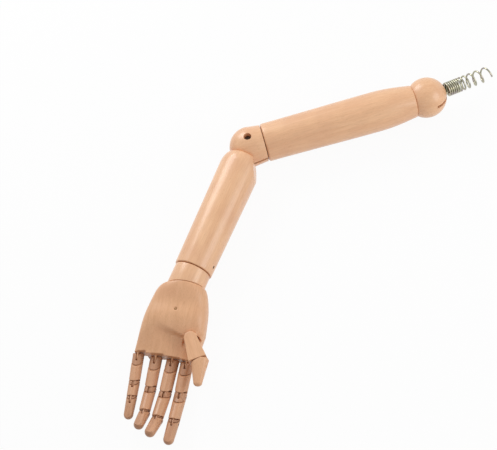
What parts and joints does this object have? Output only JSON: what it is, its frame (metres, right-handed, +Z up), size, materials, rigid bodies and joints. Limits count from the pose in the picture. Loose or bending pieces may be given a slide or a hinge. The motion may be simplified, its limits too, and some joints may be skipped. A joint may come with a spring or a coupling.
{
  "type": "jointed display arm",
  "caption": "Jointed wooden left arm with an articulated hand and a shoulder spring, lying palm up with a bent elbow; it poses garments, gloves and jewellery on a dress form.",
  "frame": {"origin": "on the table under the middle of the arm as it lies palm up with the elbow bent", "axes": "+X along the upper arm to the shoulder, +Z up from the table, out of the palm; the forearm runs towards -X and -Y"},
  "size_m": [0.5022, 0.3426, 0.048],
  "materials": {
    "beech": "clear satin lacquer on pale turned beech",
    "plated_steel": "bright, yellow-passivated zinc plate",
    "pin_steel": "dull dark steel"
  },
  "bodies": {
    "upper_arm": {"upper_arm": "beech", "shoulder_brad": "pin_steel", "elbow_brad": "pin_steel"},
    "shoulder_ball": {"shoulder_ball": "beech", "shoulder_bolt": "pin_steel"},
    "shoulder_link": {"shoulder_link": "plated_steel", "shoulder_spring": "plated_steel"},
    "elbow_knuckle": {"elbow_knuckle": "beech", "elbow_bolt": "pin_steel"},
    "forearm": {"forearm": "beech", "elbow_tongue": "plated_steel", "wrist_brad": "pin_steel"},
    "wrist_block": {"wrist_block": "beech"},
    "palm": {"palm": "beech", "palm_brad": "pin_steel"},
    "thumb_root": {"thumb_root": "beech", "thumb_root_pin": "pin_steel"},
    "thumb_tip": {"thumb_tip": "beech", "thumb_tip_pin": "pin_steel"},
    "index_proximal": {"index_proximal": "beech", "index_proximal_pin": "pin_steel"},
    "index_middle": {"index_middle": "beech", "index_middle_pin": "pin_steel"},
    "index_distal": {"index_distal": "beech", "index_distal_pin": "pin_steel"},
    "middle_proximal": {"middle_proximal": "beech", "middle_proximal_pin": "pin_steel"},
    "middle_middle": {"middle_middle": "beech", "middle_middle_pin": "pin_steel"},
    "middle_distal": {"middle_distal": "beech", "middle_distal_pin": "pin_steel"},
    "ring_proximal": {"ring_proximal": "beech", "ring_proximal_pin": "pin_steel"},
    "ring_middle": {"ring_middle": "beech", "ring_middle_pin": "pin_steel"},
    "ring_distal": {"ring_distal": "beech", "ring_distal_pin": "pin_steel"},
    "little_proximal": {"little_proximal": "beech", "little_proximal_pin": "pin_steel"},
    "little_middle": {"little_middle": "beech", "little_middle_pin": "pin_steel"},
    "little_distal": {"little_distal": "beech", "little_distal_pin": "pin_steel"}
  },
  "joints": [
    {"name": "shoulder_twist", "type": "hinge", "parent": "upper_arm", "child": "shoulder_ball", "pos_m": [0.16807, 0.14753, 0.024], "axis": [1, 0, 0], "continuous": true},
    {"name": "shoulder_swing", "type": "hinge", "parent": "shoulder_ball", "child": "shoulder_link", "pos_m": [0.16807, 0.14753, 0.024], "axis": [0, 0.3123, 0.95], "range_deg": [-64, 46]},
    {"name": "elbow_twist", "type": "hinge", "parent": "upper_arm", "child": "elbow_knuckle", "pos_m": [-0.04613, 0.14753, 0.024], "axis": [1, 0, 0], "continuous": true},
    {"name": "elbow_flex", "type": "hinge", "parent": "elbow_knuckle", "child": "forearm", "pos_m": [-0.04613, 0.14753, 0.024], "axis": [0, 0, 1], "range_deg": [-53.9, 16.1]},
    {"name": "wrist_twist", "type": "hinge", "parent": "forearm", "child": "wrist_block", "pos_m": [-0.14488, 0.01211, 0.024], "axis": [-0.5892, -0.808, 0], "continuous": true},
    {"name": "palm_twist", "type": "hinge", "parent": "wrist_block", "child": "palm", "pos_m": [-0.1715, -0.03271, 0.024], "axis": [-0.3907, -0.9205, 0], "continuous": true},
    {"name": "thumb_root_turn", "type": "hinge", "parent": "palm", "child": "thumb_root", "pos_m": [-0.1635, -0.06761, 0.028], "axis": [0, 0, 1], "range_deg": [-22.7, 22.3]},
    {"name": "thumb_tip_bend", "type": "hinge", "parent": "thumb_root", "child": "thumb_tip", "pos_m": [-0.15652, -0.09754, 0.028], "axis": [0, 0, -1], "range_deg": [-22, 2]},
    {"name": "index_proximal_bend", "type": "hinge", "parent": "palm", "child": "index_proximal", "pos_m": [-0.17701, -0.08903, 0.01], "axis": [-0.9225, 0.3859, 0], "range_deg": [-3, 57]},
    {"name": "index_middle_bend", "type": "hinge", "parent": "index_proximal", "child": "index_middle", "pos_m": [-0.19035, -0.12091, 0.01181], "axis": [-0.9225, 0.3859, 0], "range_deg": [-12, 48]},
    {"name": "index_distal_bend", "type": "hinge", "parent": "index_middle", "child": "index_distal", "pos_m": [-0.2025, -0.14996, 0.02025], "axis": [-0.9225, 0.3859, 0], "range_deg": [-3, 44]},
    {"name": "middle_proximal_bend", "type": "hinge", "parent": "palm", "child": "middle_proximal", "pos_m": [-0.19126, -0.08189, 0.01], "axis": [-0.915, 0.4035, 0], "range_deg": [-4, 56]},
    {"name": "middle_middle_bend", "type": "hinge", "parent": "middle_proximal", "child": "middle_middle", "pos_m": [-0.20603, -0.11539, 0.01256], "axis": [-0.915, 0.4035, 0], "range_deg": [-16, 44]},
    {"name": "middle_distal_bend", "type": "hinge", "parent": "middle_middle", "child": "middle_distal", "pos_m": [-0.21825, -0.14308, 0.02357], "axis": [-0.915, 0.4035, 0], "range_deg": [-24, 23]},
    {"name": "ring_proximal_bend", "type": "hinge", "parent": "palm", "child": "ring_proximal", "pos_m": [-0.20785, -0.07354, 0.01], "axis": [-0.9336, 0.3584, 0], "range_deg": [-4, 56]},
    {"name": "ring_middle_bend", "type": "hinge", "parent": "ring_proximal", "child": "ring_middle", "pos_m": [-0.22015, -0.10558, 0.0124], "axis": [-0.9336, 0.3584, 0], "range_deg": [-13, 47]},
    {"name": "ring_distal_bend", "type": "hinge", "parent": "ring_middle", "child": "ring_distal", "pos_m": [-0.23023, -0.13183, 0.02099], "axis": [-0.9336, 0.3584, 0], "range_deg": [-24, 23]},
    {"name": "little_proximal_bend", "type": "hinge", "parent": "palm", "child": "little_proximal", "pos_m": [-0.22575, -0.06441, 0.01], "axis": [-0.9494, 0.314, 0], "range_deg": [-4, 56]},
    {"name": "little_middle_bend", "type": "hinge", "parent": "little_proximal", "child": "little_middle", "pos_m": [-0.23553, -0.09396, 0.01218], "axis": [-0.9494, 0.314, 0], "range_deg": [-4, 56]},
    {"name": "little_distal_bend", "type": "hinge", "parent": "little_middle", "child": "little_distal", "pos_m": [-0.24112, -0.11088, 0.01468], "axis": [-0.9494, 0.314, 0], "range_deg": [-2, 45]}
  ]
}
